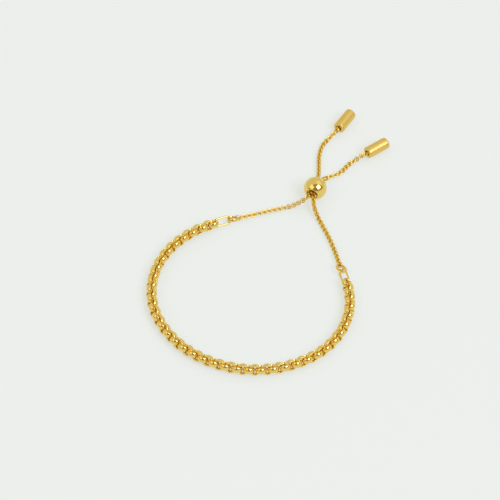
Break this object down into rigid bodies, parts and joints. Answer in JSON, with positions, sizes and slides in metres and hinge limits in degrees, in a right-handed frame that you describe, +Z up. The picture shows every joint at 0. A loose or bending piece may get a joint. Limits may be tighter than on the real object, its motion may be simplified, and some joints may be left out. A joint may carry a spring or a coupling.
{
  "type": "chain bracelet",
  "caption": "Adjustable bracelet: a loop of wide round chain links joined to thin chains that run through a hollow slider bead and end in small caps.",
  "frame": {"origin": "middle of the bracelet's bounding box in plan, on the surface that it lies on", "axes": "+Z up from the surface, +Y along the bracelet's length towards the free ends, +X to the right as seen from above"},
  "size_m": [0.0575, 0.0996, 0.0064],
  "materials": {
    "polished_gold": "polished yellow gold",
    "satin_gold": "satin yellow gold"
  },
  "bodies": {
    "root": {"main_chain": "polished_gold", "left_long_link": "polished_gold", "right_long_link": "polished_gold", "left_join_ring": "polished_gold", "right_join_ring": "polished_gold", "left_thin_chain": "polished_gold", "right_thin_chain": "polished_gold", "slider_bead": "polished_gold", "left_end_cap": "satin_gold", "right_end_cap": "satin_gold"}
  },
  "joints": []
}
